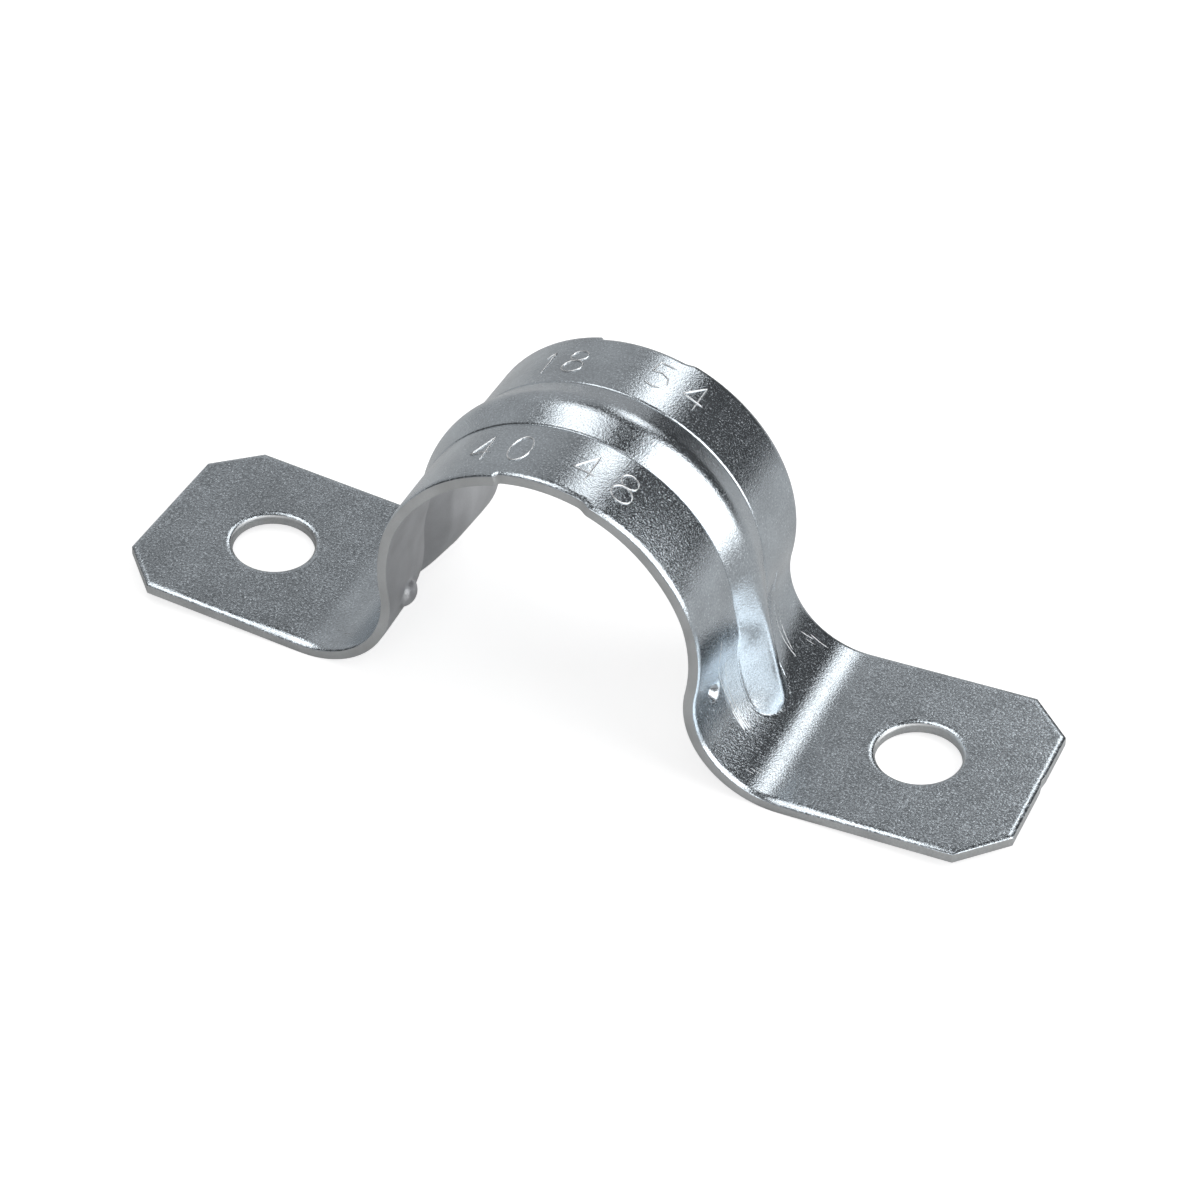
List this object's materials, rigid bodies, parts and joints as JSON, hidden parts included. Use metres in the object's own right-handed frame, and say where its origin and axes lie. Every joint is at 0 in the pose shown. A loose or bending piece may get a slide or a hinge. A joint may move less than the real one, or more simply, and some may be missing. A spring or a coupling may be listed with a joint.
{
  "type": "conduit strap",
  "caption": "Arched sheet-metal strap with a stiffening rib and a screw hole in each flat tab, for holding a round conduit or pipe to a wall.",
  "frame": {"origin": "middle of the strap on the mounting plane, midway between the screw holes, under the saddle's axis", "axes": "+X along the strap from one tab to the other, +Y along the conduit, +Z away from the wall"},
  "size_m": [0.0542, 0.0138, 0.018],
  "materials": {
    "zinc_plated_steel": "bright zinc plating over pressed steel sheet"
  },
  "bodies": {
    "root": {"strap": "zinc_plated_steel"}
  },
  "joints": []
}
